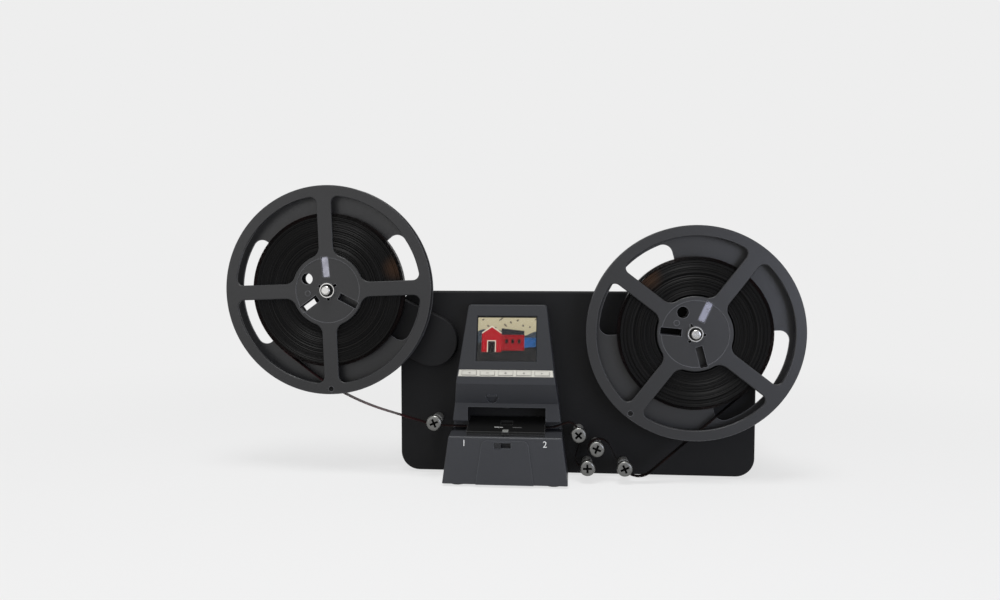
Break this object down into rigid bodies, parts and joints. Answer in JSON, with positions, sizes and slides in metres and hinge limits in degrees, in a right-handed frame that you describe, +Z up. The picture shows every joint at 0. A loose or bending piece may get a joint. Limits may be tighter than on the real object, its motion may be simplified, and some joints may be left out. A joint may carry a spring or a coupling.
{
  "type": "film reel digitizer",
  "caption": "Table-top digitizer for 8 mm film: reels on an upright black body, rollers that lead the film through a hinged gate in a grey console with a tilted screen and keys.",
  "frame": {"origin": "on the table under the middle of the whole machine: midway between the two reel spindles, and midway between the foot of the console's front and the power button at the back", "axes": "+X to the right as the user sees it, +Y to the back, +Z up; the front faces -Y"},
  "size_m": [0.4856, 0.1348, 0.2502],
  "materials": {
    "body_black": "fine texture",
    "console_grey": "satin",
    "gate_black": "satin",
    "reel_plastic": "fine grain",
    "key_silver": "silver paint",
    "film_black": "glossy film base",
    "screen_glass": "clear",
    "screen_module": "picture panel",
    "steel": "bright",
    "zinc": "plated",
    "chrome_tip": "polished",
    "roller_white": "smooth",
    "rubber_black": "matt",
    "board_green": "lacquered board",
    "inner_black": "moulded",
    "gear_white": "acetal",
    "diffuser_white": "opal",
    "bush_brass": "sintered"
  },
  "bodies": {
    "chassis": {"front_fascia": "body_black", "rear_housing": "body_black", "case_screws": "zinc", "rubber_feet": "rubber_black", "console_shell": "console_grey", "screen_bezel": "console_grey", "screen_glass": "screen_glass", "screen_panel": "screen_module", "key_strip": "key_silver", "key_board": "board_green", "base_panel": "console_grey", "format_switch_body": "inner_black", "gate_bed": "gate_black", "gate_hinge_pin": "steel", "light_diffuser": "diffuser_white", "light_board": "board_green", "lens_barrel": "inner_black", "camera_board": "board_green", "claw_motor": "zinc", "main_board": "board_green", "dc_jack": "inner_black", "usb_socket": "steel", "card_slot": "inner_black", "power_switch": "inner_black", "takeup_bush": "bush_brass", "takeup_motor": "zinc", "motor_bracket": "zinc", "roller_screws": "zinc", "arm_friction_washer": "inner_black", "film_threaded_run": "film_black", "film_supply_run": "film_black"},
    "supply_arm": {"supply_arm": "body_black", "arm_pivot_bolt": "steel"},
    "supply_reel": {"supply_spindle": "chrome_tip", "supply_reel_back": "reel_plastic", "supply_reel_front": "reel_plastic", "supply_film_pack": "film_black", "supply_reel_clip": "steel"},
    "takeup_reel": {"takeup_spindle": "chrome_tip", "takeup_gear": "gear_white", "takeup_reel_back": "reel_plastic", "takeup_reel_front": "reel_plastic", "takeup_film_pack": "film_black", "takeup_reel_clip": "steel"},
    "takeup_pinion": {"takeup_pinion": "gear_white"},
    "gate_cover": {"gate_cover": "gate_black"},
    "format_switch": {"format_switch_knob": "inner_black"},
    "power_button": {"power_button": "inner_black"},
    "claw_lever": {"claw_lever": "steel"},
    "claw_cam": {"claw_cam": "gear_white"},
    "guide_roller_1": {"guide_roller_1": "roller_white"},
    "key_1": {"key_1": "key_silver"},
    "guide_roller_2": {"guide_roller_2": "roller_white"},
    "key_2": {"key_2": "key_silver"},
    "guide_roller_3": {"guide_roller_3": "roller_white"},
    "key_3": {"key_3": "key_silver"},
    "guide_roller_4": {"guide_roller_4": "roller_white"},
    "key_4": {"key_4": "key_silver"},
    "guide_roller_5": {"guide_roller_5": "roller_white"},
    "key_5": {"key_5": "key_silver"}
  },
  "joints": [
    {"name": "supply_arm_swing", "type": "hinge", "parent": "chassis", "child": "supply_arm", "pos_m": [-0.0672, -0.0294, 0.117], "axis": [0, -1, 0], "range_deg": [-35, 35], "deforming": ["film_supply_run"]},
    {"name": "supply_reel_spin", "type": "hinge", "parent": "supply_arm", "child": "supply_reel", "pos_m": [-0.1538, -0.0434, 0.1612], "axis": [0, -1, 0], "continuous": true},
    {"name": "takeup_reel_spin", "type": "hinge", "parent": "chassis", "child": "takeup_reel", "pos_m": [0.1538, -0.0434, 0.1266], "axis": [0, -1, 0], "continuous": true},
    {"name": "takeup_pinion_spin", "type": "hinge", "parent": "chassis", "child": "takeup_pinion", "pos_m": [0.1538, -0.0094, 0.0983], "axis": [0, -1, 0], "continuous": true},
    {"name": "gate_cover_lift", "type": "hinge", "parent": "chassis", "child": "gate_cover", "pos_m": [-0.0015, -0.03003, 0.0486], "axis": [-1, 0, 0], "range_deg": [0, 40]},
    {"name": "format_switch_slide", "type": "slide", "parent": "chassis", "child": "format_switch", "axis": [1, 0, 0], "range_m": [0, 0.0078]},
    {"name": "power_button_press", "type": "slide", "parent": "chassis", "child": "power_button", "axis": [0, -1, 0], "range_m": [0, 0.0012], "stiffness_N_per_m": 900},
    {"name": "claw_cam_spin", "type": "hinge", "parent": "chassis", "child": "claw_cam", "pos_m": [0.0125, -0.0444, 0.027], "axis": [0, -1, 0], "continuous": true},
    {"name": "claw_lever_swing", "type": "hinge", "parent": "chassis", "child": "claw_lever", "pos_m": [0.0125, -0.0465, 0.009], "axis": [0, -1, 0], "range_deg": [-3.3, 3.3]},
    {"name": "guide_roller_1_spin", "type": "hinge", "parent": "chassis", "child": "guide_roller_1", "pos_m": [-0.0626, -0.0364, 0.04922], "axis": [0, -1, 0], "continuous": true},
    {"name": "guide_roller_2_spin", "type": "hinge", "parent": "chassis", "child": "guide_roller_2", "pos_m": [0.0591, -0.0364, 0.04115], "axis": [0, -1, 0], "continuous": true},
    {"name": "guide_roller_3_spin", "type": "hinge", "parent": "chassis", "child": "guide_roller_3", "pos_m": [0.0742, -0.0364, 0.02975], "axis": [0, -1, 0], "continuous": true},
    {"name": "guide_roller_4_spin", "type": "hinge", "parent": "chassis", "child": "guide_roller_4", "pos_m": [0.0666, -0.0364, 0.01335], "axis": [0, -1, 0], "continuous": true},
    {"name": "guide_roller_5_spin", "type": "hinge", "parent": "chassis", "child": "guide_roller_5", "pos_m": [0.0975, -0.0364, 0.01365], "axis": [0, -1, 0], "continuous": true},
    {"name": "key_1_press", "type": "slide", "parent": "chassis", "child": "key_1", "axis": [0, 0.8703, -0.4926], "range_m": [0, 0.0008], "stiffness_N_per_m": 900},
    {"name": "key_2_press", "type": "slide", "parent": "chassis", "child": "key_2", "axis": [0, 0.8703, -0.4926], "range_m": [0, 0.0008], "stiffness_N_per_m": 900},
    {"name": "key_3_press", "type": "slide", "parent": "chassis", "child": "key_3", "axis": [0, 0.8703, -0.4926], "range_m": [0, 0.0008], "stiffness_N_per_m": 900},
    {"name": "key_4_press", "type": "slide", "parent": "chassis", "child": "key_4", "axis": [0, 0.8703, -0.4926], "range_m": [0, 0.0008], "stiffness_N_per_m": 900},
    {"name": "key_5_press", "type": "slide", "parent": "chassis", "child": "key_5", "axis": [0, 0.8703, -0.4926], "range_m": [0, 0.0008], "stiffness_N_per_m": 900}
  ],
  "couplings": [
    {"joint": "takeup_pinion_spin", "follows": "takeup_reel_spin", "ratio": -3}
  ]
}
